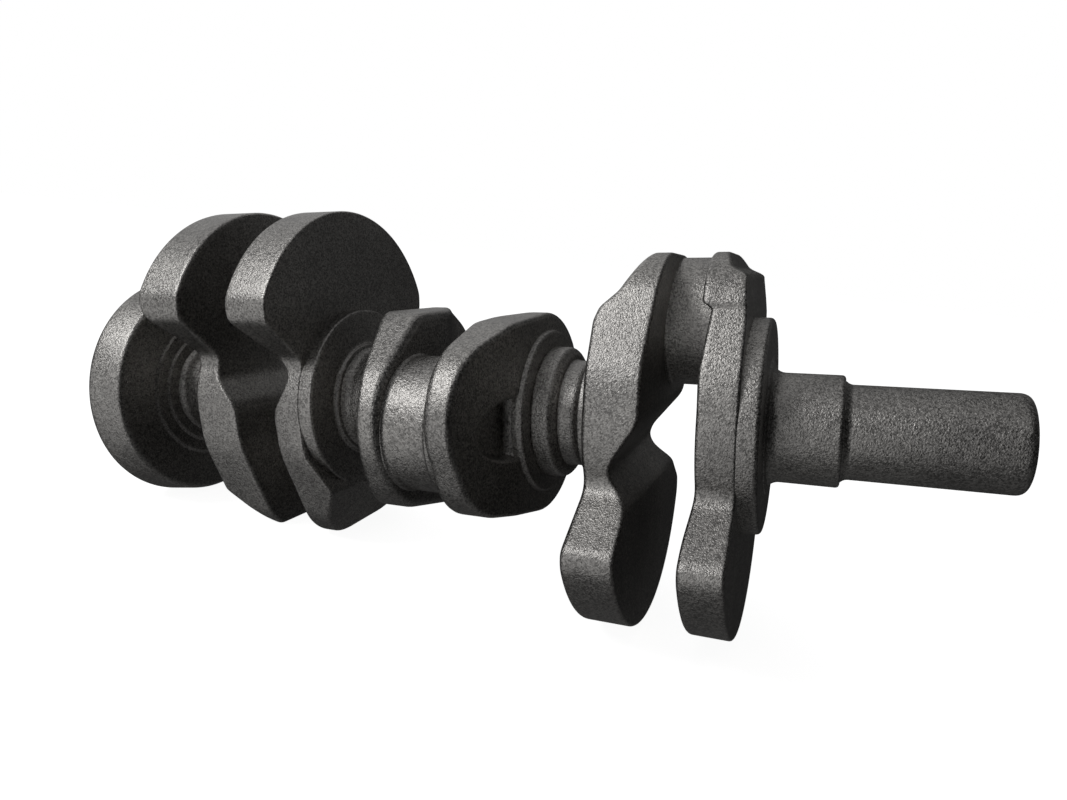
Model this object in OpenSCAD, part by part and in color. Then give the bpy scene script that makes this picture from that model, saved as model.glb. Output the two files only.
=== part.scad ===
// Crankshaft for three cylinders in line, a rough iron casting that has not been machined yet.
// +X runs along the shaft from the flywheel face, +Z is up and the middle throw points to -Y.
// The casting is divided where its journals, webs, bosses and counterweights meet.

/* [Shaft line] */
// Distance between neighbouring cylinder centres
cylinder_pitch = 83; // [80:0.5:90]
// Distance that the middle crankpin stands towards the snout from the middle of its neighbours
middle_offset = 2.75; // [0:0.25:4]
// Distance from the flange to the first web
rear_main_length = 30.8; // [20:0.2:36]
// Diameter of the three rear main journals
main_d = 40; // [34:0.5:43]
// Diameter of the front main journal
front_main_d = 38; // [36:0.5:43]
// Length of the front main journal
front_main_length = 23; // [16:0.5:32]
// Fillet at the ends of the main journals
main_fillet = 2; // [1:0.25:2.5]
// Rounding of the front journal's shoulder
shoulder_round = 1.5; // [0.5:0.25:2.5]

/* [Throws] */
// Crank radius, half of the stroke
throw_r = 40; // [37:0.5:43]
// Angle between neighbouring throws
throw_angle = 120; // [115:1:125]
// Diameter of a crankpin
pin_d = 48; // [44:0.5:52]
// Length of the first and third crankpin between their webs
pin_length = 18; // [16:0.5:22]
// Length of the middle crankpin between its webs
middle_pin_length = 16.5; // [14:0.5:20]
// Fillet at the ends of the crankpins
pin_fillet = 0.75; // [0.25:0.25:1]

/* [Flywheel flange] */
// Diameter of the flange
flange_d = 101; // [90:1:116]
// Thickness of the flange
flange_t = 18; // [14:0.5:24]
// Rounding of the flange's edges
flange_round = 3.5; // [1:0.5:6]
// Diameter of the wide step on the flange's inner face
flange_step_d = 62; // [58:1:74]
// Diameter of the narrow step, beside the journal
flange_hub_d = 51; // [48:1:57]
// Height of each of the two steps
flange_step_h = 1; // [0.5:0.25:3]

/* [Snout] */
// Diameter of the snout
snout_d = 32; // [26:0.5:33]
// Length of the snout in front of the front journal
snout_length = 53; // [35:1:70]
// Rounding of the snout's end
snout_round = 3.5; // [1:0.5:6]
// Fillet where the snout leaves the front journal
snout_fillet = 1.25; // [0.5:0.25:1.5]

/* [Outer webs] */
// Radius of a web's round end on the main axis
main_end_r = 38; // [35:0.5:41]
// Iron outside a crankpin at the end of its outer web
lobe_margin = 1; // [1:0.25:4]
// Distance of the heel's centre below the main axis
heel_drop = 35; // [30:0.5:40]
// Thickness of web 1
rear_web_t = 22; // [18:0.5:25]
// Thickness of web 5
inner_web_t = 19.5; // [17:0.5:23]
// Thickness of the plate of webs 2 and 6, behind their round bosses
plate_t = 13; // [11:0.5:15]
// Distance below the main axis where the lobes of webs 1 and 5 start to thin
full_bevel_from = 39; // [38:0.5:46]
// Thickness of those webs at the foot of their lobes
full_tip_t = 3; // [2:0.5:9]
// Distance below the main axis where the lobes of webs 2 and 6 start to thin
plate_bevel_from = 50.5; // [42:0.5:54]
// Thickness of those webs at the foot of their lobes
plate_tip_t = 4; // [3:0.5:9]
// Distance below the main axis where the waist grooves start
groove_start = 1; // [0:0.5:4]
// Height from a groove's start to its floor
groove_rise = 12; // [8:0.5:13]
// Distance above the main axis where the floor of a groove ends
groove_end = 14.5; // [13.5:0.25:17]
// Depth of the groove of web 1
rear_groove = 12.5; // [8:0.5:15]
// Depth of the groove of web 2
plate_groove = 7; // [3:0.5:9]
// Depth of the groove of web 5
inner_groove = 12; // [6:0.5:13]

/* [Middle webs] */
// Thickness of the two middle webs at their main end
middle_t = 18; // [15:0.5:21]
// Thickness of a middle web at the tip of its lobe
middle_tip_t = 9; // [6:0.5:13]
// Distance from the main axis to where a middle web starts to thin
middle_slope_from = 30; // [20:0.5:36]
// Iron outside the crankpin at the end of a middle web
middle_margin = 3; // [2.75:0.25:6]
// Distance of the lobe's centre above the throw's line
middle_rise = 2; // [0:0.25:2]
// Distance of the lower heel's centre below the lobe's centre
lower_heel_drop = 7; // [4:0.5:10]
// Distance of the lower heel's centre from the lobe's centre towards the main axis
lower_heel_back = 4; // [2:0.5:8]
// Distance of the shoulder's centre on web 3 from the main axis along the throw
shoulder_3_along = 36; // [32:0.5:40]
// Height of that centre above the throw's line
shoulder_3_rise = 28.5; // [24:0.5:30]
// Radius of the shoulder of web 3
shoulder_3_r = 10; // [8:0.5:14]
// Distance of the shoulder's centre on web 4 from the main axis along the throw
shoulder_4_along = 41.5; // [38:0.5:43]
// Height of that centre above the throw's line
shoulder_4_rise = 9.5; // [6:0.5:12]
// Radius of the shoulder of web 4
shoulder_4_r = 25; // [20:0.5:27]
// Depth of the relief on the pin side of a middle web, across the main axis from its pin
relief_depth = 14; // [4:0.5:14]
// Distance over which that relief runs down
relief_run = 38; // [26:1:44]
// Space between the relief and the crankpin's fillet
relief_gap = 0.5; // [0.25:0.25:3]

/* [Casting pocket] */
// Width of the pocket in the outer face of web 4
pocket_width = 14; // [8:0.5:16]
// Height of the pocket
pocket_height = 24; // [18:0.5:30]
// Distance of the pocket's centre from the main axis along the throw
pocket_along = 40; // [39:0.5:44]
// Distance of the pocket's centre below the throw's line
pocket_drop = 3; // [0:0.5:6]
// Depth of the pocket at its centre
pocket_depth = 5; // [2:0.5:7]

/* [Bosses and collars] */
// Diameter of the low boss of webs 3 and 4
middle_boss_d = 62; // [56:0.5:64]
// Height of that boss
middle_boss_h = 2; // [1.25:0.25:3]
// Height of the round boss of web 2
boss_2_h = 6; // [4:0.5:9]
// Height of the round boss of web 6
boss_6_h = 5.5; // [4:0.5:9]
// Rounding of a round boss's edge
boss_round = 3; // [1:0.5:3.5]
// Diameter of the ring that stands on the round bosses
boss_ring_d = 47.5; // [47:0.5:56]
// Height of that ring
boss_ring_h = 1.5; // [0.5:0.25:3]
// Diameter of the thrust collar
thrust_d = 50; // [47:0.5:55]
// Height of the thrust collar
thrust_h = 7; // [3:0.5:9]
// Rounding of the edges of the collars and the low bosses
collar_round = 1; // [0.25:0.25:1.25]
// Diameter of the thin collars on webs 1 and 5
collar_d = 47; // [47:0.5:56]
// Height of the collar on web 1
collar_1_h = 2.5; // [1.5:0.25:8]
// Height of the collar on web 5
collar_5_h = 6.5; // [1.5:0.25:8]

/* [Counterweights] */
// Distance from the main axis to the rim of counterweights 1 and 2
rear_reach = 78.4; // [70:0.2:86]
// Distance from the main axis to the rim of counterweights 5 and 6
front_reach = 76.6; // [70:0.2:86]
// Radius of that rim
fan_r = 59; // [55:0.5:64]
// Half of the width between the flats at a counterweight's corners
fan_half = 54; // [48:0.5:54]
// Rounding of the rim's two edges
fan_edge = 3; // [1:0.5:4]
// Angle of a counterweight's flanks from its centre line
fan_flare = 51; // [40:1:54]
// Distance from the main axis to where a counterweight leaves its web
fan_root = 18.4; // [17.4:0.2:21]
// Height over which the faces of counterweights 1, 5 and 6 step out from the groove
fan_step = 9; // [7:0.5:12]
// Height over which the inner face of counterweight 2 steps out from the groove
fan_2_step = 20; // [10:0.5:24]
// Height over which the outer faces of counterweights 1 and 5 lean out
lean_rise = 16; // [10:0.5:20]
// Distance that counterweight 1 leans out from its web towards the flange
fan_1_lean = 9.5; // [0.5:0.5:10]
// Distance that counterweight 5 leans out from its web
fan_5_lean = 1.5; // [0.5:0.5:5]
// Thickness of counterweight 1
fan_1_t = 18.5; // [14:0.5:22]
// Thickness of counterweights 2 and 5
inner_fan_t = 17.5; // [14:0.5:20]
// Thickness of counterweight 6
front_fan_t = 14.5; // [13:0.5:17]

/* [Hidden] */
$fn = 96;
iron = "#6f6d69";

main_r = main_d / 2;
front_main_r = front_main_d / 2;
pin_r = pin_d / 2;
lobe_r = pin_r + lobe_margin;
middle_lobe_r = pin_r + middle_margin;
first_throw_x = flange_t + rear_main_length + rear_web_t + pin_length / 2;
front_main_x = face_x(6) + boss_h(6) + boss_ring_h;
snout_x = front_main_x + front_main_length;

// Throws 1 and 3 in the outer webs' own plane, where the counterweight points up
outer_turn = 270 - throw_angle;
outer_pin = throw_r * [sin(outer_turn), cos(outer_turn)];
heel = [0, -heel_drop];
heel_tip = heel_drop + lobe_r;
middle_turn = -90;
middle_lobe = throw_r * [sin(middle_turn), cos(middle_turn)] + [0, middle_rise];
lower_heel = middle_lobe + [lower_heel_back, -lower_heel_drop];
shoulder_3 = [-shoulder_3_along, shoulder_3_rise];
shoulder_4 = [-shoulder_4_along, shoulder_4_rise];
middle_tip = throw_r + middle_lobe_r;

root_half = sqrt(pow(main_end_r, 2) - pow(fan_root, 2));
// Straight stretches run this far inside the tangents, so that they cut the round ends cleanly
tangent_inset = 0.02;
// Larger than any web, for cutting profiles
beyond = 2 * (rear_reach + front_reach);

// Webs 2 and 6 are plates with a round boss, webs 1 and 5 are full
function is_plate(n) = n == 2 || n == 6;
function outer_face(n) = n == 1 ? rear_web_t : n == 5 ? inner_web_t : is_plate(n) ? plate_t : middle_t;
function boss_h(n) = n == 2 ? boss_2_h : boss_6_h;
function collar_h(n) = n == 1 ? collar_1_h : collar_5_h;
// Places along the shaft
function throw_x(n) = first_throw_x + (n - 1) * cylinder_pitch + (n == 2 ? middle_offset : 0);
function pin_span(n) = n == 2 ? middle_pin_length : pin_length;
// Pin-side face of a web, the way from there to its main journal, and its outer face
function web_x(n) = throw_x(ceil(n / 2)) + web_way(n) * pin_span(ceil(n / 2)) / 2;
function web_way(n) = n % 2 == 0 ? 1 : -1;
function face_x(n) = web_x(n) + web_way(n) * outer_face(n);
// Counterweights, in distances from the pin-side face of their web
function fan_out(n) = outer_face(n) + (n == 1 ? fan_1_lean : n == 5 ? fan_5_lean : 0);
function fan_t(n) = n == 1 ? fan_1_t : n == 6 ? front_fan_t : inner_fan_t;
function fan_reach(n) = n > 4 ? front_reach : rear_reach;
function fan_in(n) = fan_out(n) - fan_t(n);
function step_h(n) = n == 2 ? fan_2_step : fan_step;
function groove(n) = n == 1 ? rear_groove : n == 2 ? plate_groove : n == 5 ? inner_groove : 0;
function root_in(n) =
    groove(n) > 0 ? slope_at([groove(n), groove_end], [fan_in(n), groove_end + step_h(n)], fan_root) : 0;
// Where a straight slope from one [u, w] point through another reaches the distance w
function slope_at(from, to, w) = from[0] + (to[0] - from[0]) * (w - from[1]) / (to[1] - from[1]);

// Solids of revolution about the shaft, from a half profile of radius against length
module turned(x) {
    translate([x, 0, 0])
        rotate([0, 90, 0])
            rotate_extrude()
                children();
}

// Half profile of a bar whose far edge is rounded
module bar_profile(r, length, edge) {
    difference() {
        square([r, length]);
        translate([r - edge, length - edge])
            difference() {
                square(2 * edge);
                circle(edge);
            }
    }
}

// Half profile of a bar whose two edges are rounded
module wheel_profile(r, length, edge) {
    intersection() {
        bar_profile(r, length, edge);
        translate([0, length])
            mirror([0, 1])
                bar_profile(r, length, edge);
    }
}

// Concave corner that stands on the start of a half profile
module fillet_profile(r, size) {
    translate([r, 0])
        difference() {
            square(size);
            translate([size, size])
                circle(size);
        }
}

// Half profile of a journal with a fillet at both ends
module journal_profile(r, length, size) {
    square([r, length]);
    fillet_profile(r, size);
    translate([0, length])
        mirror([0, 1])
            fillet_profile(r, size);
}

// A flat outline of Y and Z, carried along +X
module along_x(length) {
    rotate([90, 0, 90])
        linear_extrude(length)
            children();
}

// A flat outline of X and distance from the axis, carried across; the turn aims the distance
module across(turn) {
    rotate([-turn, 0, 0])
        rotate([90, 0, 0])
            linear_extrude(beyond, center = true)
                children();
}

// Two round ends and the straight tangents that join them, each carried along +X by itself
module link(a, ra, b, rb, length) {
    run = b - a;
    aim = atan2(run[1], run[0]);
    swing = acos((ra - rb) / norm(run));
    up = [cos(aim + swing), sin(aim + swing)];
    down = [cos(aim - swing), sin(aim - swing)];
    sa = ra - tangent_inset;
    sb = rb - tangent_inset;
    along_x(length)
        translate(a)
            circle(ra);
    along_x(length)
        translate(b)
            circle(rb);
    along_x(length)
        polygon([a + sa * up, b + sb * up, b + sb * down, a + sa * down]);
}

module outer_blank(length) {
    union() {
        link([0, 0], main_end_r, outer_pin, lobe_r, length);
        link([0, 0], main_end_r, heel, lobe_r, length);
        link(heel, lobe_r, outer_pin, lobe_r, length);
        along_x(length)
            polygon([[0, 0], heel, outer_pin]);
    }
}

module middle_blank() {
    union() {
        link([0, 0], main_end_r, middle_lobe, middle_lobe_r, middle_t);
        link([0, 0], main_end_r, lower_heel, middle_lobe_r, middle_t);
        link(lower_heel, middle_lobe_r, middle_lobe, middle_lobe_r, middle_t);
        along_x(middle_t)
            polygon([[0, 0], lower_heel, middle_lobe]);
    }
}

// Shoulder above the pin of a middle web
module upper_shoulder(centre, r) {
    union() {
        link([0, 0], main_end_r, centre, r, middle_t);
        link(centre, r, middle_lobe, middle_lobe_r, middle_t);
        along_x(middle_t)
            polygon([[0, 0], centre, middle_lobe]);
    }
}

// Everything below a web's outer face, which thins towards the tip of the lobe
module under_face(face, from, tip_t, tip, turn) {
    past = tip + 1;
    across(turn)
        polygon([
            [-beyond, -beyond], [face, -beyond], [face, from],
            [slope_at([face, from], [tip_t, tip], past), past], [-beyond, past]
        ]);
}

// Puts a web's own frame on the shaft: u from the pin side outwards, counterweight up or down
module at_web(n) {
    translate([web_x(n), 0, 0])
        mirror([web_way(n) < 0 ? 1 : 0, 0, 0])
            mirror([0, 0, n > 4 ? 1 : 0])
                children();
}

module outer_web(n) {
    face = outer_face(n);
    waist = [
        [root_in(n), fan_root], [groove(n), groove_end], [groove(n), groove_rise - groove_start],
        [0, -groove_start]
    ];
    color(iron)
        at_web(n)
            intersection() {
                outer_blank(face);
                across(0)
                    polygon([
                        [0, -beyond], [face, -beyond], [face, fan_root],
                        each groove(n) > 0 ? waist : [[0, fan_root]]
                    ]);
                if (is_plate(n))
                    under_face(face, plate_bevel_from, plate_tip_t, heel_tip, 180);
                else
                    under_face(face, full_bevel_from, full_tip_t, heel_tip, 180);
            }
}

module middle_under_face() {
    under_face(middle_t, middle_slope_from, middle_tip_t, middle_tip, middle_turn);
}

// Everything outside the relief that runs down across the main axis from the pin
module over_relief() {
    from = throw_r - pin_r - pin_fillet - relief_gap;
    across(middle_turn)
        polygon([
            [0, beyond], [0, from], [relief_depth, from - relief_run], [relief_depth, -beyond],
            [beyond, -beyond], [beyond, beyond]
        ]);
}

module crank_web_3() {
    color(iron)
        at_web(3)
            intersection() {
                union() {
                    middle_blank();
                    upper_shoulder(shoulder_3, shoulder_3_r);
                }
                middle_under_face();
                over_relief();
            }
}

module crank_web_4() {
    face_u = slope_at([middle_t, middle_slope_from], [middle_tip_t, middle_tip], pocket_along);
    end_r = pocket_width / 2;
    reach = pocket_height / 2 - end_r;
    color(iron)
        at_web(4)
            difference() {
                intersection() {
                    union() {
                        middle_blank();
                        upper_shoulder(shoulder_4, shoulder_4_r);
                    }
                    middle_under_face();
                    over_relief();
                }
                translate([face_u - pocket_depth, -pocket_along, -pocket_drop])
                    link([0, -reach], end_r, [0, reach], end_r, middle_t);
            }
}

// Blank of a counterweight: straight flanks and upright flats, left open above for the rim to trim
module fan_blank(length) {
    flank_end = fan_root + (fan_half - root_half) / tan(fan_flare);
    along_x(length)
        polygon([
            [root_half, fan_root], [fan_half, flank_end], [fan_half, beyond],
            [-fan_half, beyond], [-fan_half, flank_end], [-root_half, fan_root]
        ]);
}

module counterweight(n) {
    neck_out = outer_face(n);
    out = fan_out(n);
    in = fan_in(n);
    side_room = rear_web_t;
    above = fan_reach(n) + 1;
    // The outer face leans out only past the thin collar beside the journal
    lean_from = collar_d / 2 + collar_round;
    color(iron)
        at_web(n)
            intersection() {
                translate([in - side_room, 0, 0])
                    fan_blank(out - in + 2 * side_room);
                across(0)
                    polygon([
                        [root_in(n), fan_root], [neck_out, fan_root], [neck_out, lean_from],
                        [out, lean_from + lean_rise], [out, above], [in, above],
                        [in, groove_end + step_h(n)]
                    ]);
                translate([0, 0, fan_reach(n) - fan_r])
                    turned(in - side_room)
                        fan_rim_profile(side_room, out - in);
            }
}

// Half profile of the rim: a wide disc whose middle part has the rim's rounded edges
module fan_rim_profile(margin, length) {
    square([fan_r - 2 * fan_edge, length + 2 * margin]);
    translate([0, margin])
        wheel_profile(fan_r, length, fan_edge);
}

module crankpin(n) {
    turn = middle_turn + (n - 2) * throw_angle;
    color(iron)
        translate([0, throw_r * sin(turn), throw_r * cos(turn)])
            turned(throw_x(n) - pin_span(n) / 2)
                journal_profile(pin_r, pin_span(n), pin_fillet);
}

module flywheel_flange() {
    color(iron)
        turned(0) {
            wheel_profile(flange_d / 2, flange_t, flange_round);
            square([flange_step_d / 2, flange_t + flange_step_h]);
            square([flange_hub_d / 2, flange_t + 2 * flange_step_h]);
        }
}

module main_journal(n) {
    after_flange = flange_t + 2 * flange_step_h;
    after_plate = face_x(2) + boss_h(2) + boss_ring_h;
    after_thrust = face_x(4) + middle_boss_h + thrust_h;
    start = n == 1 ? after_flange : n == 2 ? after_plate : after_thrust;
    end = n == 1 ? face_x(1) - collar_h(1) : n == 2 ? face_x(3) - middle_boss_h : face_x(5) - collar_h(5);
    color(iron)
        turned(start)
            journal_profile(main_r, end - start, main_fillet);
}

module front_journal() {
    color(iron)
        turned(front_main_x) {
            bar_profile(front_main_r, front_main_length, shoulder_round);
            fillet_profile(front_main_r, main_fillet);
        }
}

module snout() {
    color(iron)
        turned(snout_x) {
            bar_profile(snout_d / 2, snout_length, snout_round);
            fillet_profile(snout_d / 2, snout_fillet);
        }
}

// Round boss on the plate of web 2 or 6, with the ring beside the journal
module plate_boss(n) {
    color(iron)
        at_web(n)
            turned(plate_t) {
                bar_profile(main_end_r, boss_h(n), boss_round);
                square([boss_ring_d / 2, boss_h(n) + boss_ring_h]);
            }
}

// Low boss that stands on the face of a middle web and follows it where it slopes
module middle_boss(n) {
    color(iron)
        at_web(n)
            difference() {
                turned(middle_t - middle_boss_h)
                    bar_profile(middle_boss_d / 2, 2 * middle_boss_h, collar_round);
                middle_under_face();
            }
}

module thrust_collar() {
    color(iron)
        turned(face_x(4) + middle_boss_h)
            bar_profile(thrust_d / 2, thrust_h, collar_round);
}

module thin_collar(n) {
    color(iron)
        at_web(n)
            turned(outer_face(n))
                bar_profile(collar_d / 2, collar_h(n), collar_round);
}

flywheel_flange();
main_journal(1);  // main_journal_1
thin_collar(1);  // bearing_collar_1
outer_web(1);  // crank_web_1
counterweight(1);  // counterweight_1
crankpin(1);  // crankpin_1
outer_web(2);  // crank_web_2
counterweight(2);  // counterweight_2
plate_boss(2);  // bearing_boss_2
main_journal(2);  // main_journal_2
middle_boss(3);  // bearing_boss_3
crank_web_3();
crankpin(2);  // crankpin_2
crank_web_4();
middle_boss(4);  // bearing_boss_4
thrust_collar();
main_journal(3);  // main_journal_3
thin_collar(5);  // bearing_collar_5
outer_web(5);  // crank_web_5
counterweight(5);  // counterweight_5
crankpin(3);  // crankpin_3
outer_web(6);  // crank_web_6
counterweight(6);  // counterweight_6
plate_boss(6);  // bearing_boss_6
front_journal();  // main_journal_4
snout();
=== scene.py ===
# %% [markdown]
# # A raw crankshaft casting
# The object is the crankshaft of an engine with three cylinders in line, as it leaves the foundry: one
# piece of iron, shot blasted and not yet machined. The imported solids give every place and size. This
# lesson lays a softer skin over each of them, because a casting has no sharp edge anywhere, and then
# gives the iron its blasted grain.

# %% Load the frame
import bpy
import numpy as np
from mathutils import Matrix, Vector


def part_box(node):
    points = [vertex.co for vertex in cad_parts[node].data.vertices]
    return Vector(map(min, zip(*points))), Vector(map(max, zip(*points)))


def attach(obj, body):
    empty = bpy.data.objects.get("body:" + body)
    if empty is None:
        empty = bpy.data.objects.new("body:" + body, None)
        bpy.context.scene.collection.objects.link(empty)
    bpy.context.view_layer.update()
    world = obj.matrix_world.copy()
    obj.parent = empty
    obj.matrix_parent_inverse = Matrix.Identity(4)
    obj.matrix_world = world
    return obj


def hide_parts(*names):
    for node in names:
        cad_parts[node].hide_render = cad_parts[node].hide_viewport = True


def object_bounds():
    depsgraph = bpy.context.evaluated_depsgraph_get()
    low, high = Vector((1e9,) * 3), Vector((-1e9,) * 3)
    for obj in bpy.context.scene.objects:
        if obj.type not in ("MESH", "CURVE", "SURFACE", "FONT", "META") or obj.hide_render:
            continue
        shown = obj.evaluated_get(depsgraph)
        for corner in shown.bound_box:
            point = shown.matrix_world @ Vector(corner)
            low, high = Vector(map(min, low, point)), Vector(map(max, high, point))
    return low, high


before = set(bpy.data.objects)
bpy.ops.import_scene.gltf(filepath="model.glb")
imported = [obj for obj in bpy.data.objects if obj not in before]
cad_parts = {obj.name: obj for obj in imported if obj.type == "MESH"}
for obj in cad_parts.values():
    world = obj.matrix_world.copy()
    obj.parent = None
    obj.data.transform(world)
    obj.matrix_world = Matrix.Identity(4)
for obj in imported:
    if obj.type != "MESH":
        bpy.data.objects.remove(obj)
cad_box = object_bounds()
print("nodes in the frame:", len(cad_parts))

# %% [markdown]
# ## Reading places from the frame
# Lengths in this lesson are millimetres, as on a drawing, and turn into metres only when a mesh is made.
# The shaft lies along X, from the flywheel flange to the snout. A node's box gives its two ends, its
# radius and its axis, so none of those numbers is written down twice.

# %% Places and sizes of the nodes
MM = 0.001


def ends(node):
    """The first and last X of a node, in millimetres."""
    low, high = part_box(node)
    return low.x / MM, high.x / MM


def axis_of(node):
    """The (y, z) of the axis of a round node: the middle of its box."""
    low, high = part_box(node)
    return (low.y + high.y) / 2 / MM, (low.z + high.z) / 2 / MM


def radius_of(node):
    """The radius of a round node: half of its box's height."""
    low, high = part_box(node)
    return (high.z - low.z) / 2 / MM


print("crankpin axes:", [np.round(axis_of(f"crankpin_{n}"), 1).tolist() for n in (1, 2, 3)])

# %% [markdown]
# ## From a grid of points to a closed skin
# Every piece here is a grid: one parameter runs round the piece and closes on itself, the other runs from
# one pole to the other. Four neighbours make a face and the two poles are closed with fans of triangles.
# A mirrored grid would come out inside out, so the signed volume decides which way the faces are wound.

# %% Grid to mesh
def skin(name, points):
    """A closed mesh from points[around, along] in millimetres, whose first and last columns are poles.

    Volume is the sum of (a x b) . c / 6 over all triangles, and it is positive when faces point outwards.
    """
    around, along = points.shape[:2]
    vertices = np.vstack([points[:, 1:-1].reshape(-1, 3), points[0, [0, -1]]]) * MM
    index = np.arange(around * (along - 2)).reshape(around, along - 2)
    beside = np.roll(index, -1, axis=0)
    quads = np.stack([index[:, :-1], beside[:, :-1], beside[:, 1:], index[:, 1:]], -1).reshape(-1, 4)
    first = np.full(around, len(vertices) - 2)
    caps = np.vstack([np.stack([first, beside[:, 0], index[:, 0]], -1),
                      np.stack([first + 1, index[:, -1], beside[:, -1]], -1)])
    triangles = vertices[np.vstack([quads[:, :3], quads[:, [0, 2, 3]], caps])]
    volume = np.einsum("ij,ij->", np.cross(triangles[:, 0], triangles[:, 1]), triangles[:, 2]) / 6
    if volume < 0:
        quads = quads[:, ::-1]
        caps = caps[:, ::-1]
    mesh = bpy.data.meshes.new(name)
    mesh.from_pydata(vertices.tolist(), [], quads.tolist() + caps.tolist())
    mesh.shade_smooth()
    piece = bpy.data.objects.new(name, mesh)
    bpy.context.collection.objects.link(piece)
    print(f"{name}: {len(triangles)} triangles, {abs(volume) * 1e6:.1f} cubic centimetres")
    return piece


# %% Pieces in place of nodes
made = []


def stands_for(piece, *nodes):
    """Lets a piece ride on the casting's one body in place of its nodes, in the same iron."""
    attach(piece, "root")
    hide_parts(*nodes)
    made.append(piece)


print("every piece rides on the body named root")

# %% [markdown]
# ## Soft corners
# Sand does not hold a sharp corner, so each turned outline is a list of corners with a setback. A bevel
# modifier with a weight for each edge could do it too, but a setback that stands beside its corner is
# easier to read. The corner is cut back by its setback and a parabola joins the two cuts, which is close
# to an arc and never overshoots.

# %% Turned outlines
CORNER_STEPS = 9
SIDES = 168


def softened(before, corner, after, setback, steps):
    """A corner of an outline, replaced by a parabola that starts and stops a setback away from it.

    With cuts a and b and the corner c, the point at t is (1-t)^2 a + 2t(1-t) c + t^2 b.
    """
    before, corner, after = (np.array(point, float) for point in (before, corner, after))
    t = np.linspace(0, 1, steps)[:, None]
    cut_a = corner + setback * (before - corner) / np.linalg.norm(before - corner)
    cut_b = corner + setback * (after - corner) / np.linalg.norm(after - corner)
    return (1 - t) ** 2 * cut_a + 2 * t * (1 - t) * corner + t ** 2 * cut_b


def eased(corners):
    """The points of an outline through corners (x, radius, setback), with all but its two ends softened."""
    rows = np.array(corners, float)
    place = rows[:, :2]
    soft = [softened(before, corner, after, setback, CORNER_STEPS)
            for before, corner, after, setback in zip(place[:-2], place[1:-1], place[2:], rows[1:-1, 2])]
    return np.vstack([place[:1], *soft, place[-1:]])


def turned(name, corners, centre=(0, 0)):
    """A turned piece: at angle a, each (x, r) of the outline gives (x, y0 + r sin a, z0 + r cos a)."""
    x, r = eased(corners).T
    a = np.linspace(0, 2 * np.pi, SIDES, endpoint=False)
    grid = np.stack([np.tile(x, (SIDES, 1)),
                     centre[0] + np.outer(np.sin(a), r),
                     centre[1] + np.outer(np.cos(a), r)], -1)
    return skin(name, grid)


print("a turned piece has", SIDES, "sides")

# %% [markdown]
# ## Journals and crankpins
# A journal is a round bar that will run in a bearing of the engine block, and a crankpin is one that will
# carry a connecting rod. A plain cylinder would do from afar. But where the bar meets a web it flares
# into a fillet, because a sharp inner corner would crack there, so each one is turned from an outline
# with a flare at both ends. The ends run a little way into their neighbours, so that no gap shows.

# %% Journals and crankpins
SUNK = 2.0          # how far a hidden end runs into its neighbour
MAIN_FILLET = 2.0
PIN_FILLET = 0.75


def journal(node, fillet):
    """A round bar with a flare at both ends: the fillet against the webs beside it."""
    start, stop = ends(node)
    flare = radius_of(node)
    bar = flare - fillet
    return turned(f"{node}_skin", [
        (start - SUNK, 0, 0),
        (start - SUNK, flare, 0.3),
        (start, flare, 0.2),
        (start + fillet, bar, fillet),
        (stop - fillet, bar, fillet),
        (stop, flare, 0.2),
        (stop + SUNK, flare, 0.3),
        (stop + SUNK, 0, 0)], axis_of(node))


for number in (1, 2, 3):
    stands_for(journal(f"main_journal_{number}", MAIN_FILLET), f"main_journal_{number}")
    stands_for(journal(f"crankpin_{number}", PIN_FILLET), f"crankpin_{number}")

# %% [markdown]
# ## Flywheel flange
# A thick disc that the flywheel is bolted to later. Its rim tapers a little, and its inner face climbs to
# the first journal in two low steps. Stacked cylinders would leave a hard line at each step. One turned
# outline holds the taper, the steps and the wide rounding of the rim.

# %% Flange
RIM_SWELL = 0.3             # what the taper adds to the rim's radius at the outer face
RIM_DRAFT = 1.6             # and what it takes away at the inner face
STEP = 1.0                  # height of each of the two steps
STEP_R = (31.0, 25.5)       # their radii
STEP_FOOT = (0.8, 0.6)      # how much wider each one is at its foot
FLANGE_CORE = 12.0          # radius of the end inside the journal
flange_start, flange_stop = ends("flywheel_flange")
flange_r = radius_of("flywheel_flange")
flange_face = flange_stop - 2 * STEP
flange = turned("flywheel_flange_skin", [
    (flange_start, 0, 0),
    (flange_start, flange_r + RIM_SWELL, 3.5),
    (flange_face, flange_r - RIM_DRAFT, 2.5),
    (flange_face, STEP_R[0] + STEP_FOOT[0], 0.8),
    (flange_stop - STEP, STEP_R[0], 0.6),
    (flange_stop - STEP, STEP_R[1] + STEP_FOOT[1], 0.6),
    (flange_stop, STEP_R[1], 0.6),
    (flange_stop + SUNK, FLANGE_CORE, 1.0),
    (flange_stop + SUNK, 0, 0)])
stands_for(flange, "flywheel_flange")

# %% [markdown]
# ## Front journal and snout
# The snout carries the belt pulley and the timing drive. It is a plain bar with a broad rounding at its
# end, and it leaves the front journal at a small shoulder. They could be one outline, but the solids have
# a node for each, so each gets a skin of its own, and the snout's flare runs into the journal.

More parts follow.
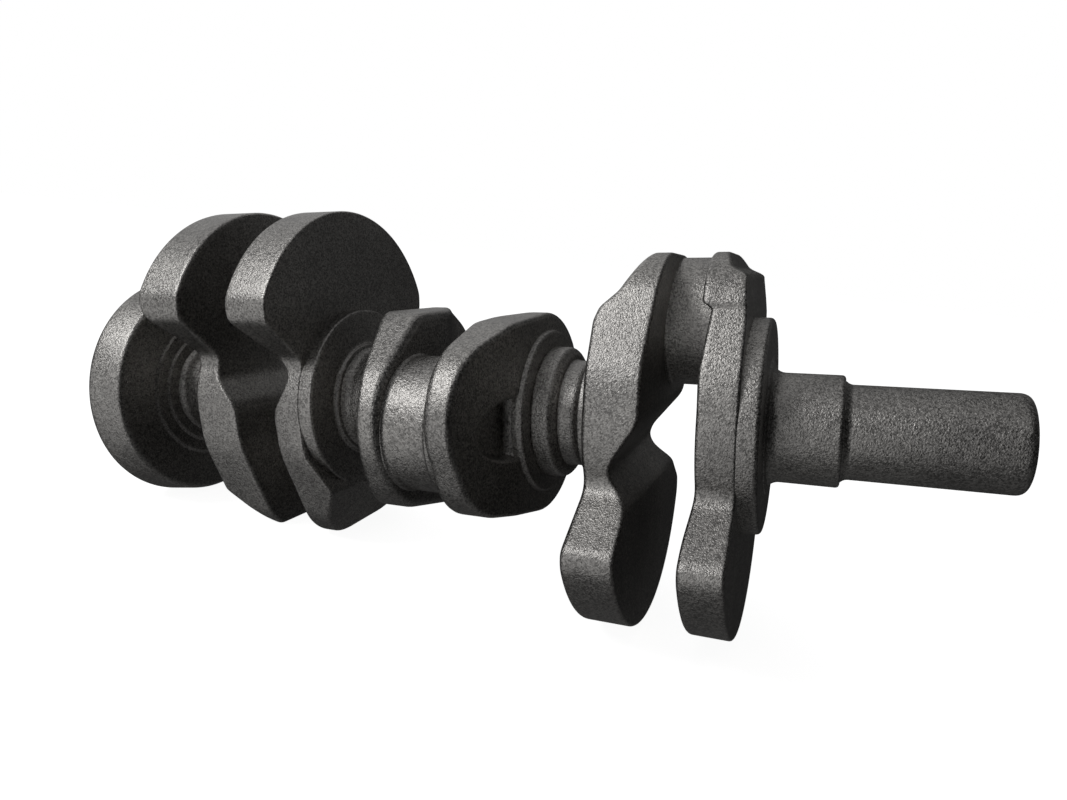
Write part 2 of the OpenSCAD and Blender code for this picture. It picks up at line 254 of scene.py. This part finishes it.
# %% Front journal and snout
SNOUT_R = 16.0
SNOUT_FLARE = 1.2           # what its fillet adds to the radius at the shoulder
SNOUT_FILLET = 1.4          # and the fillet's length
SHOULDER_ROUND = 1.5
SNOUT_ROUND = 3.5
front_start, front_stop = ends("main_journal_4")
front_flare = radius_of("main_journal_4")
front_r = front_flare - MAIN_FILLET
snout_start, snout_stop = ends("snout")
front = turned("main_journal_4_skin", [
    (front_start - SUNK, 0, 0),
    (front_start - SUNK, front_flare, 0.5),
    (front_start, front_flare, 0.3),
    (front_start + MAIN_FILLET, front_r, MAIN_FILLET),
    (front_stop, front_r, SHOULDER_ROUND),
    (front_stop, 0, 0)])
stands_for(front, "main_journal_4")
snout = turned("snout_skin", [
    (snout_start - SUNK, 0, 0),
    (snout_start - SUNK, SNOUT_R + SNOUT_FLARE, 0.3),
    (snout_start, SNOUT_R + SNOUT_FLARE, 0.3),
    (snout_start + SNOUT_FILLET, SNOUT_R, 1.2),
    (snout_stop, SNOUT_R, SNOUT_ROUND),
    (snout_stop, 0, 0)])
stands_for(snout, "snout")

# %% [markdown]
# ## Collars and bosses
# Between a web and its journal stands a ring: a thin collar, the tall thrust collar that takes the push
# along the shaft, or a wide boss. The bosses of webs 2 and 6 are as wide as the round end of the web and
# end in a low ring, those of webs 3 and 4 are low discs. They differ only in a few corners, so three
# short outlines make them all.

# %% Collars
COLLAR_CORE = 3.0           # how much narrower a collar's hidden end is


def collar(node, round_start, round_stop):
    """A plain ring with its own rounding on each side."""
    start, stop = ends(node)
    r = radius_of(node)
    return turned(f"{node}_skin", [
        (start, 0, 0),
        (start, r, round_start),
        (stop, r, round_stop),
        (stop + SUNK, r - COLLAR_CORE, 0.5),
        (stop + SUNK, 0, 0)])


stands_for(collar("bearing_collar_1", 1.2, 0.6), "bearing_collar_1")
stands_for(collar("bearing_collar_5", 1.2, 0.6), "bearing_collar_5")
stands_for(collar("thrust_collar", 1.0, 1.6), "thrust_collar")

# %% Wide bosses
BOSS_INSET = 0.3            # how much smaller a boss is than the round end of its web
RING_R = (23.75, 23.2)      # the low ring on a boss, at its foot and at its top
BOSS_CORE = 10.0            # radius of the end inside the journal


def plate_boss(node, height, edge):
    """The disc on a plate web, with the low ring that the journal starts from."""
    start, stop = ends(node)
    r = radius_of(node) - BOSS_INSET
    return turned(f"{node}_skin", [
        (start - SUNK, 0, 0),
        (start - SUNK, r, 0.5),
        (start + height, r, edge),
        (start + height, RING_R[0], 1.0),
        (stop, RING_R[1], 0.6),
        (stop + SUNK, BOSS_CORE, 1.0),
        (stop + SUNK, 0, 0)])


stands_for(plate_boss("bearing_boss_2", 5.8, 1.5), "bearing_boss_2")
stands_for(plate_boss("bearing_boss_6", 6.3, 1.8), "bearing_boss_6")

# %% Low bosses
LOW_FOOT = 0.6              # how much wider a low boss is at its web
LOW_CROWN = 0.3             # how far its middle stands past its edge
CROWN_R = 23.0


def low_boss(node, web_end):
    """The low disc between a middle web and its journal; web_end is 0 or 1, the end that meets the web."""
    x = ends(node)
    r = radius_of(node)
    web_x = x[web_end]
    far = x[1 - web_end]
    out = np.sign(far - web_x)
    return turned(f"{node}_skin", [
        (web_x - out * SUNK, 0, 0),
        (web_x - out * SUNK, r + LOW_FOOT, 0.3),
        (web_x, r + LOW_FOOT, 0.3),
        (far, r, 0.9),
        (far + out * LOW_CROWN, CROWN_R, 0.5),
        (far + out * LOW_CROWN, 0, 0)])


stands_for(low_boss("bearing_boss_3", 1), "bearing_boss_3")
stands_for(low_boss("bearing_boss_4", 0), "bearing_boss_4")

# %% [markdown]
# ## Soft steps
# The faces of a web are not flat: they step down into grooves and slope off at the tip. In sand such a
# step has no hard line at its start or stop. A height that climbs along one direction, with both of its
# corners rounded, can stand for a groove's wall, a bevel or a lean, and several of them add up to a whole
# face.

# %% Soft steps
EASE = 3.0          # width of a rounded corner, where nothing else is said


def softly(a, b, k):
    """The larger of a and b, with the corner between them rounded over a width k."""
    h = np.clip(0.5 + 0.5 * (a - b) / k, 0, 1)
    return b + (a - b) * h + k * h * (1 - h)


def incline(x, start, stop, k=EASE):
    """0 before start, 1 after stop, straight between them, with both corners rounded over k."""
    return (softly(x - start, 0, k) - softly(x - stop, 0, k)) / (stop - start)


def stairs(x, steps, k):
    """The sum of soft steps along x: each (start, stop, rise) adds its rise between start and stop."""
    return sum(rise * incline(x, start, stop, min(k, stop - start)) for start, stop, rise in steps)


print("half way up a step from 0 to 10:", round(float(incline(5.0, 0, 10)), 2))

# %% [markdown]
# ## Outlines
# Seen along the shaft, a web is a band stretched round a few circles: one at the main axis, others at the
# crankpin or where a shoulder stands out. A curve object could be drawn by hand, but circles with real
# places and radii say more. The outline is walked at even steps, because they become the rows of the
# mesh, and blurred a little to round its corners.

# %% Outlines
OUTLINE_STEPS = 440
OUTLINE_EASE = 1.0      # blur along the outline that rounds its corners
ARC_STEPS = 60
HULL_STEPS = 720


def arc(centre, radius, start, stop):
    """Points on an arc; angles in degrees run from +q towards +p."""
    a = np.radians(np.linspace(start, stop, ARC_STEPS))[:, None]
    return np.array(centre) + radius * np.hstack([np.sin(a), np.cos(a)])


def hull(*circles):
    """The outline of a band stretched round circles (p, q, radius): the farthest one in each direction."""
    a = np.radians(np.linspace(0, 360, HULL_STEPS, endpoint=False))[:, None]
    direction = np.hstack([np.sin(a), np.cos(a)])
    rows = np.array(circles, float)
    farthest = np.argmax(direction @ rows[:, :2].T + rows[:, 2], axis=1)
    return rows[farthest, :2] + rows[farthest, 2:] * direction


def walk(*stretches):
    """A closed outline at even steps: stretches joined by straight lines, then blurred along its length.

    The blur is a Gaussian, taken in the frequency domain because the outline closes on itself.
    """
    raw = np.vstack([*stretches, stretches[0][:1]])
    length = np.append(0, np.cumsum(np.linalg.norm(np.diff(raw, axis=0), axis=1)))
    even = np.linspace(0, length[-1], OUTLINE_STEPS, endpoint=False)
    path = np.stack([np.interp(even, length, raw[:, 0]), np.interp(even, length, raw[:, 1])], -1)
    turns = np.fft.fftfreq(OUTLINE_STEPS, length[-1] / OUTLINE_STEPS)
    blur = np.exp(-2 * (np.pi * turns * OUTLINE_EASE) ** 2)[:, None]
    return np.fft.ifft(np.fft.fft(path, axis=0) * blur, axis=0).real


MAIN_R = radius_of("bearing_boss_2")
print("the round end of every web has a radius of", round(MAIN_R, 1), "mm")

# %% [markdown]
# ## The surface of a web
# A web is the hardest form on the shaft. It could be cut from blocks, but then every edge would need its
# own rounding. Here it is one surface. The first parameter walks round the outline, the second crosses
# it: out over the inner face, round the rim, back over the outer face. Two height formulas give the
# faces, so grooves and bevels run out through the rim by themselves.

# %% Web surface
FACE_STEPS = 76
EDGE_STEPS = 7
RIM_STEPS = 9
EDGE_SHARE = 0.45       # the most of a thin rim that the rounding of one edge may take


def web(name, outline, inner, outer, place, edges):
    """A web: rows walk round the outline, columns cross it from the inner pole to the outer pole.

    On a face the point is k times the inset outline, at the face's height. On an edge the inset is
    e (1 - sin f) and the rise is e (1 - cos f) for f from 0 to a right angle. The rim runs straight between.
    """
    ahead = np.roll(outline, -1, 0) - np.roll(outline, 1, 0)
    inward = np.stack([-ahead[:, 1], ahead[:, 0]], -1) / np.linalg.norm(ahead, axis=1, keepdims=True)
    inward *= -np.sign(np.sum(inward * outline))
    thick = outer(*outline.T) - inner(*outline.T)
    f = np.linspace(0, np.pi / 2, EDGE_STEPS)
    k = np.linspace(0, 1, FACE_STEPS)[:-1, None]

    def side(height, edge, out):
        """One face and its edge: its (p, q) and its u, from the pole to the rim."""
        e = np.minimum(edge, EDGE_SHARE * thick)
        inset = e[:, None] * (1 - np.sin(f))
        lip = outline[:, None] + inset[..., None] * inward[:, None]
        pq = np.concatenate([k * lip[:, :1], lip], 1)
        rise = np.concatenate([np.zeros((len(e), len(k))), e[:, None] * (1 - np.cos(f))], 1)
        return pq, height(pq[..., 0], pq[..., 1]) - out * rise

    pq_in, u_in = side(inner, edges[0], -1)
    pq_out, u_out = side(outer, edges[1], 1)
    w = np.linspace(0, 1, RIM_STEPS + 2)[1:-1]
    u_rim = u_in[:, -1:] * (1 - w) + u_out[:, -1:] * w
    pq_rim = np.repeat(outline[:, None], RIM_STEPS, 1)
    pq = np.concatenate([pq_in, pq_rim, pq_out[:, ::-1]], 1)
    u = np.concatenate([u_in, u_rim, u_out[:, ::-1]], 1)
    return skin(name, place(u, pq[..., 0], pq[..., 1]))


def pin_side(n, away):
    """The X of the side of web n that its crankpin stands on, and the web's thickness.

    The web lies away from that side along X: 1 towards the snout, -1 towards the flange.
    """
    start, stop = ends(f"crank_web_{n}")
    return (start if away > 0 else stop), stop - start


print("thickness of the webs:", [round(pin_side(n, 1)[1], 1) for n in range(1, 7)])

# %% [markdown]
# ## Outline of an outer web
# The four outer webs carry a fan opposite the crankpin, which balances the throw. The fan's rim is an arc
# that ends in an upright flat at each corner, a flank runs in to the neck, and below it the band goes
# round the main end and the lobe of the crankpin. Only one half of the fan is written down: the other is
# its mirror image.

# %% Outline of an outer web
FAN_R = 59.0
FAN_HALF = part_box("counterweight_2")[1].y / MM      # half of the width between the flats
FAN_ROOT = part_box("counterweight_2")[0].z / MM      # height of the neck above the main axis
NECK = (np.sqrt(MAIN_R ** 2 - FAN_ROOT ** 2), FAN_ROOT)
FLANK_END = 35.2                                    # height of the lower end of the flats
FAN_SOFT = (2.0, 2.5, 5.0)      # setbacks of the fan's corner, the flat's lower end and the neck
FAN_STEPS = 24
RIM_FREE = 3.0                  # degrees of the rim left free for its corner
NECK_FREE = 7.0                 # degrees of the band left free for the neck
PIN = axis_of("crankpin_1")     # crankpin 3 mirrors it, as the fans of webs 5 and 6 do
LOBE_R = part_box("crank_web_1")[1].y / MM - PIN[0]
BELLY = (0, -8.0, MAIN_R - 1)   # keeps the band full between main end and lobe
CAP_LEDGE = (42.0, 43.0)        # where a proud tip starts, below the main axis
CAP_SIDE = (4.0, 16.0)          # and how it grows towards the near side
LEDGE_EASE = 0.5


def bearing(points):
    """The angles of many points round the origin, from 0 to 360 degrees."""
    return np.degrees(np.arctan2(points[:, 0], points[:, 1])) % 360


def outer_outline(reach, heel, cap):
    """Fan rim, upright flat, flank, then the band round main end, lobe and heel, and the same back.

    The tip of the lobe stands out by cap on the near side, with a ledge where it starts.
    """
    edge = np.degrees(np.arcsin(FAN_HALF / FAN_R))
    rim = arc((0, reach - FAN_R), FAN_R, 0, edge - RIM_FREE)
    top = (FAN_HALF, reach - FAN_R + FAN_R * np.cos(np.radians(edge)))
    foot = (FAN_HALF, FLANK_END)
    cheek = hull((0, 0, MAIN_R), BELLY, (*PIN, LOBE_R), (0, heel, LOBE_R))
    turn = bearing(cheek)
    free = bearing(np.array([NECK]))[0] + NECK_FREE
    cheek = cheek[(turn > free) & (turn < 360 - free)]
    side = np.vstack([softened(rim[-1], top, foot, FAN_SOFT[0], FAN_STEPS),
                      softened(top, foot, NECK, FAN_SOFT[1], FAN_STEPS),
                      softened(foot, NECK, cheek[0], FAN_SOFT[2], FAN_STEPS)])
    mirror = (-1, 1)
    outline = walk(rim, side, cheek, side[::-1] * mirror, rim[::-1] * mirror)
    p, q = outline.T
    proud = cap * incline(-q, *CAP_LEDGE, LEDGE_EASE) * incline(-p, *CAP_SIDE)
    return np.stack([p - proud, q], -1)


print("lobe radius", round(LOBE_R, 1), "mm, neck at", np.round(NECK, 1).tolist())

# %% [markdown]
# ## Outer webs
# An outer web has a waist groove on the crankpin's side, slopes off at the tip of its lobe, and may lean
# its fan along the shaft. The four differ in all of these. They could be carved one by one in Edit Mode,
# but written as soft steps of two faces, one function makes all four, and its lists read like a section.

# %% Faces of an outer web
GROOVE_TILT = 0.0033    # share of a groove's depth gained per millimetre towards the far side
BEVEL_EASE = 1.2


def outer_web(n, away, up, reach, heel, back, grooves, bevels, leans, edges, cap=0):
    """Web n. u runs away from the crankpin along X, p along Y, and q towards the fan, which is up or down.

    The inner face starts back from the crankpin's end. Of the soft steps, grooves raise it along q,
    bevels lower the outer face along -q and leans raise that along q. Edges are the roundings of both faces.
    """
    pin_face, plate = pin_side(n, away)

    def inner(p, q):
        height = back + stairs(q, grooves, EASE)
        return height + GROOVE_TILT * p * np.maximum(height, 0)

    def outer(p, q):
        return plate - stairs(-q, bevels, BEVEL_EASE) + stairs(q, leans, EASE)

    def place(u, p, q):
        return np.stack([pin_face + away * u, p, up * q], -1)

    return web(f"web_{n}_skin", outer_outline(reach, heel, cap), inner, outer, place, edges)


rear_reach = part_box("counterweight_2")[1].z / MM
front_reach = -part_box("counterweight_6")[0].z / MM
print("the fans reach", round(rear_reach, 1), "mm at the rear and", round(front_reach, 1), "mm at the front")

# %% Webs 1 and 2
rear = outer_web(
    1, away=-1, up=1, reach=rear_reach + 1.0, heel=-37.0, back=1.5,
    grooves=[(-1, 11, 11), (15, 24, 0.5)],
    bevels=[(41, 58.5, 19)],
    leans=[(24.5, 40.5, 9.5)],
    edges=(1.5, 1.2))
stands_for(rear, "crank_web_1", "counterweight_1")
second = outer_web(
    2, away=1, up=1, reach=rear_reach + 0.2, heel=-36.0, back=0.0,
    grooves=[(-2, 10, 7), (14, 22, -6.5), (22, 37, -6)],
    bevels=[(20, 34, -5.8), (36, 61, 13)],
    leans=[(24, 36, 0.6)],
    edges=(1.2, 1.0))
stands_for(second, "crank_web_2", "counterweight_2")

# %% Webs 5 and 6
fifth = outer_web(
    5, away=-1, up=-1, reach=front_reach, heel=-35.0, back=-2.5,
    grooves=[(-58, -25, 2.5), (-5, 10.5, 11.3), (15.5, 23.5, -7.8)],
    bevels=[(37, 41.5, 1.5), (41.5, 47, 6), (47, 60, 7)],
    leans=[(20, 36, 1.5)],
    edges=(1.2, 2.0))
stands_for(fifth, "crank_web_5", "counterweight_5")
front_web = outer_web(
    6, away=1, up=-1, reach=front_reach - 1.2, heel=-35.0, back=-1.5,
    grooves=[(-43, -42, 3.3), (-42, -22, -2.2), (-22, -12, 0.4), (18, 30, -1.5)],
    bevels=[(38, 50, 1), (52.5, 54.2, 5), (54.2, 60, 3)],
    leans=[],
    edges=(1.5, 1.0), cap=1.1)
stands_for(front_web, "crank_web_6", "counterweight_6")

# %% [markdown]
# ## Middle webs
# The two webs of the middle crankpin have no fan. Each is a cheek that thins towards its tip, with a
# shoulder on its upper side, and its inner face falls back on the side away from the crankpin. Web 4 also
# has a shallow pocket beside its boss. A boolean cut would leave the pocket with sharp edges, so it is
# one more soft step of the outer face.

# %% Middle webs
TAPER = (30.0, 67.0)            # where a cheek thins, as distances from the main axis
RELIEF = (-14.75, 15.25)        # where the inner face falls back, across the main axis
RELIEF_EASE = 5.0
POCKET = (-28.5, -1.2)          # middle of the pocket's straight side
POCKET_SIZE = (24.0, 11.5)      # how far it reaches towards the tip, and half of its height
POCKET_WALL = (0.86, 1.0)       # the wall, as shares of that size
POCKET_EASE = 0.05
STRAIGHT_WALL = 2.0             # how much steeper the wall on the straight side is


def middle_web(n, away, circles, tip, relief, pocket, edges):
    """A middle web: tip is its thickness at the tip, relief and pocket are depths.

    With r the distance from the pocket's middle in shares of its size, the pocket is where r is below 1.
    On the axis's side of the middle, 1 + 2 across takes the place of r and makes that side straight.
    """
    pin_face, thick = pin_side(n, away)

    def inner(p, q):
        return relief * incline(p, *RELIEF, RELIEF_EASE)

    def outer(p, q):
        across = (p - POCKET[0]) / POCKET_SIZE[0]
        along = (q - POCKET[1]) / POCKET_SIZE[1]
        r = np.maximum(np.hypot(across, along), 1 + STRAIGHT_WALL * across)
        thinned = thick - (thick - tip) * incline(-p, *TAPER)
        return thinned - pocket * (1 - incline(r, *POCKET_WALL, POCKET_EASE))

    def place(u, p, q):
        return np.stack([pin_face + away * u, p, q], -1)

    return web(f"web_{n}_skin", walk(hull(*circles)), inner, outer, place, edges)


third = middle_web(
    3, away=-1, tip=8.0, relief=15.5, pocket=0.0, edges=(3.0, 2.0),
    circles=[(0, 0, MAIN_R + 1.3), (-40, 2, 27), (-36, -5, 27), (-32.5, 26, 13)])
stands_for(third, "crank_web_3")
fourth = middle_web(
    4, away=1, tip=10.0, relief=14.0, pocket=5.5, edges=(3.5, 1.8),
    circles=[(0, 0, MAIN_R), (0, -1.5, MAIN_R), (-29, 24, 12), (-40, 4.5, 27), (-36, -5, 27)])
stands_for(fourth, "crank_web_4")

# %% [markdown]
# ## The iron
# Grey iron, cast in sand and then shot blasted: steel shot leaves a skin of tiny facets, so the metal is
# matt from afar and sparkles up close. An image would repeat and stretch over these forms; noise on
# Object coordinates does neither. Fine noise bumps the surface, cells of one grain each vary its tone and
# roughness, and wide noise clouds the tone.

# %% Material helpers
def linear(hex_colour):
    """An sRGB hex value as linear red, green, blue and alpha."""
    s = np.array([int(hex_colour[i:i + 2], 16) for i in (1, 3, 5)]) / 255
    return (*np.where(s <= 0.04045, s / 12.92, ((s + 0.055) / 1.055) ** 2.4), 1)


def add(tree, kind, sockets=None, **settings):
    """Adds a node: settings are its properties, sockets maps an input to a value or to a node's output."""
    node = tree.nodes.new(kind)
    for name, value in settings.items():
        setattr(node, name, value)
    for name, value in (sockets or {}).items():
        if isinstance(value, bpy.types.NodeSocket):
            tree.links.new(value, node.inputs[name])
        else:
            node.inputs[name].default_value = value
    return node


def per_metre(size):
    """A texture scale: how many features of this size, in millimetres, fit in a metre."""
    return 1 / (size * MM)


print("middle grey in linear light:", round(float(linear("#808080")[0]), 3))

# %% Shot blasted cast iron: grain and tone
GRAIN = 0.55                    # millimetres across a shot mark
PITTING = 3.0                   # millimetres between the shallow dents of the sand mould
CLOUD = 28.0                    # millimetres across a cloud of tone
TONES = ((0.3, "#93918f"), (0.7, "#a9a7a4"))    # noise level and colour of the dark and the light clouds
SPECK = (0.52, 1.48)            # how much darker or lighter than its cloud a single grain is
iron = bpy.data.materials.new("shot_blasted_cast_iron")
iron.use_nodes = True
tree = iron.node_tree
tree.nodes.clear()
where = add(tree, "ShaderNodeTexCoord").outputs["Object"]
cloud = add(tree, "ShaderNodeTexNoise", {"Vector": where, "Scale": per_metre(CLOUD), "Detail": 4.0})
tone = add(tree, "ShaderNodeValToRGB", {"Fac": cloud.outputs["Fac"]})
for stop, (position, colour) in zip(tone.color_ramp.elements, TONES):
    stop.position = position
    stop.color = linear(colour)
cells = add(tree, "ShaderNodeTexVoronoi", {"Vector": where, "Scale": per_metre(GRAIN)})
glint = add(tree, "ShaderNodeSeparateColor", {"Color": cells.outputs["Color"]}).outputs["Red"]
speck = add(tree, "ShaderNodeMapRange", {"Value": glint, "To Min": SPECK[0], "To Max": SPECK[1]})
speckled = add(tree, "ShaderNodeVectorMath", {0: tone.outputs["Color"], 1: speck.outputs["Result"]},
               operation="MULTIPLY")
print("grains in a metre:", round(per_metre(GRAIN)))

# %% Shot blasted cast iron: surface
ROUGHNESS = (0.28, 0.44)        # of the smoothest and the roughest grain
BUMP_HEIGHT = 0.3               # millimetres
DENT_STRENGTH = 0.2
GRAIN_STRENGTH = 0.7
rough = add(tree, "ShaderNodeMapRange", {"Value": glint, "To Min": ROUGHNESS[0], "To Max": ROUGHNESS[1]})
pits = add(tree, "ShaderNodeTexNoise", {"Vector": where, "Scale": per_metre(PITTING), "Detail": 3.0})
grain = add(tree, "ShaderNodeTexNoise", {"Vector": where, "Scale": per_metre(GRAIN), "Detail": 2.0})
dents = add(tree, "ShaderNodeBump", {"Height": pits.outputs["Fac"], "Strength": DENT_STRENGTH,
                                     "Distance": BUMP_HEIGHT * MM})
bumps = add(tree, "ShaderNodeBump", {"Height": grain.outputs["Fac"], "Normal": dents.outputs["Normal"],
                                     "Strength": GRAIN_STRENGTH, "Distance": BUMP_HEIGHT * MM})
shader = add(tree, "ShaderNodeBsdfPrincipled", {
    "Base Color": speckled.outputs["Vector"], "Metallic": 1.0,
    "Roughness": rough.outputs["Result"], "Normal": bumps.outputs["Normal"]})
add(tree, "ShaderNodeOutputMaterial", {"Surface": shader.outputs["BSDF"]})
for piece in made:
    piece.data.materials.append(iron)
print("iron on", len(made), "pieces")

# %% [markdown]
# ## Floor
# The shaft lies on its flange and on the fans of webs 5 and 6, so the floor slopes a little in the
# shaft's own frame. It is a sheet of white paper. It glows, which keeps it white out to the edge of the
# picture, and the casting neither mirrors it nor takes light from it, so that the undersides stay dark as
# on the object.

# %% Floor
FLANGE_TOUCH = 16.0             # X of the two places where the casting rests
FAN_TOUCH = 219.0
FLOOR_HALF = 6000.0
slope = (flange_r - front_reach) / (FAN_TOUCH - FLANGE_TOUCH)
corner_x = np.array([-FLOOR_HALF, FLOOR_HALF, FLOOR_HALF, -FLOOR_HALF])
corner_y = np.array([-FLOOR_HALF, -FLOOR_HALF, FLOOR_HALF, FLOOR_HALF])
corner_z = -flange_r + slope * (corner_x - FLANGE_TOUCH)
floor_mesh = bpy.data.meshes.new("floor")
floor_mesh.from_pydata((np.stack([corner_x, corner_y, corner_z], -1) * MM).tolist(), [], [[0, 1, 2, 3]])
floor = bpy.data.objects.new("floor", floor_mesh)
bpy.context.collection.objects.link(floor)
floor.visible_diffuse = False
floor.visible_glossy = False
print("floor slopes", round(np.degrees(np.arctan(slope)), 1), "degrees")

# %% White paper
FIBRES = 60.0                   # millimetres across a cloud of fibres
FIBRE_TONES = ("#b4b4b4", "#bababa")
PAPER_GLOW = 0.93
paper = bpy.data.materials.new("white_paper")
paper.use_nodes = True
paper_tree = paper.node_tree
paper_tree.nodes.clear()
on_sheet = add(paper_tree, "ShaderNodeTexCoord").outputs["Object"]
fibres = add(paper_tree, "ShaderNodeTexNoise", {"Vector": on_sheet, "Scale": per_metre(FIBRES)})
white = add(paper_tree, "ShaderNodeValToRGB", {"Fac": fibres.outputs["Fac"]})
for stop, colour in zip(white.color_ramp.elements, FIBRE_TONES):
    stop.color = linear(colour)
sheet = add(paper_tree, "ShaderNodeBsdfPrincipled", {
    "Base Color": white.outputs["Color"], "Roughness": 0.9,
    "Emission Color": linear("#ffffff"), "Emission Strength": PAPER_GLOW})
add(paper_tree, "ShaderNodeOutputMaterial", {"Surface": sheet.outputs["BSDF"]})
floor_mesh.materials.append(paper)
print("paper on the floor")

# %% [markdown]
# ## Light
# Rough metal shows the room as much as the lamps. One soft lamp stands to the left of the camera and
# above it, and draws the contact shadow. The rest is a dim room with a few soft patches of light. Little
# of it comes from the snout's end, so faces that look that way stay dark, as on the object. A picture of
# a real room would do too, but the patches can be placed one by one. The camera sees plain white in place
# of the room.

# %% Key lamp
KEY_AT = Vector((-0.43, -0.71, 0.89))       # metres
KEY_SIZE = 0.4
KEY_WATTS = 4.4
key_way = (cad_box[0] + cad_box[1]) / 2 - KEY_AT
key_light = bpy.data.lights.new("key", "AREA")
key_light.shape = "SQUARE"
key_light.size = KEY_SIZE
key_light.energy = KEY_WATTS
key = bpy.data.objects.new("key", key_light)
key.location = KEY_AT
key.rotation_euler = key_way.to_track_quat("-Z", "Y").to_euler()
bpy.context.collection.objects.link(key)
print("key lamp", round(key_way.length, 2), "m from the casting")

# %% Room
ROOM = 0.018                                # light from every side
PATCHES = (                                 # direction, cosine at the patch's edge, brightness
    ((-0.50, -0.86, -0.08), 0.45, 0.33),    # wide, from the camera's left
    ((-0.42, -0.87, -0.26), 0.70, 0.26),    # below it
    ((-0.30, -0.86, 0.41), 0.85, 0.35),     # narrow, above it
    ((-0.50, 0.45, 0.74), 0.55, 0.50),      # from behind and above, for the rims of the fans
    ((0.0, -0.1, -1.0), 0.20, 0.075),       # faint, from below
    ((0.60, 0.75, 0.28), 0.80, 0.08),       # faint, from behind and the snout's end
    ((0.10, -0.35, 0.93), 0.75, 0.32))      # overhead, for the tops of the round bars
world = bpy.data.worlds.new("studio")
world.use_nodes = True
sky = world.node_tree
sky.nodes.clear()
outward = add(sky, "ShaderNodeTexCoord").outputs["Generated"]
level = ROOM
for direction, edge, bright in PATCHES:
    facing = add(sky, "ShaderNodeVectorMath", {0: outward, 1: direction}, operation="DOT_PRODUCT")
    glow = add(sky, "ShaderNodeMapRange",
               {"Value": facing.outputs["Value"], "From Min": edge, "To Max": bright},
               interpolation_type="SMOOTHSTEP")
    level = add(sky, "ShaderNodeMath", {0: level, 1: glow.outputs["Result"]}, operation="ADD").outputs[0]
seen = add(sky, "ShaderNodeLightPath").outputs["Is Camera Ray"]
room = add(sky, "ShaderNodeBackground", {"Color": linear("#fbfbfb"), "Strength": level})
blank = add(sky, "ShaderNodeBackground", {"Color": linear("#ffffff")})
both = add(sky, "ShaderNodeMixShader", {"Fac": seen, 1: room.outputs[0], 2: blank.outputs[0]})
add(sky, "ShaderNodeOutputWorld", {"Surface": both.outputs[0]})
bpy.context.scene.world = world
bpy.context.scene.view_settings.view_transform = "Standard"
print("room with", len(PATCHES), "patches of light")

# %% [markdown]
# ## Camera
# The camera stands close to the shaft, near its snout's end, and looks back along it, which is why the
# snout looks long and the flange small. Its place was found by matching the round edges of the flange,
# the collars and the snout. The lens is given as a share of the picture's width, so it holds for any
# sensor.

# %% Camera
PHOTO_WIDTH = 1067                              # pixels
FOCAL_PIXELS = 730
CAMERA_AT = Vector((0.2929, -0.2623, 0.0510))   # metres
CAMERA_AIM = Vector((-0.3746, 0.9125, -0.1646))
NEAREST = 0.01
camera = bpy.data.objects.new("camera", bpy.data.cameras.new("camera"))
camera.data.sensor_fit = "HORIZONTAL"
camera.data.lens = camera.data.sensor_width * FOCAL_PIXELS / PHOTO_WIDTH
camera.data.clip_start = NEAREST
camera.location = CAMERA_AT
camera.rotation_euler = CAMERA_AIM.to_track_quat("-Z", "Y").to_euler()
bpy.context.collection.objects.link(camera)
bpy.context.scene.camera = camera
print("lens", round(camera.data.lens, 2), "mm")
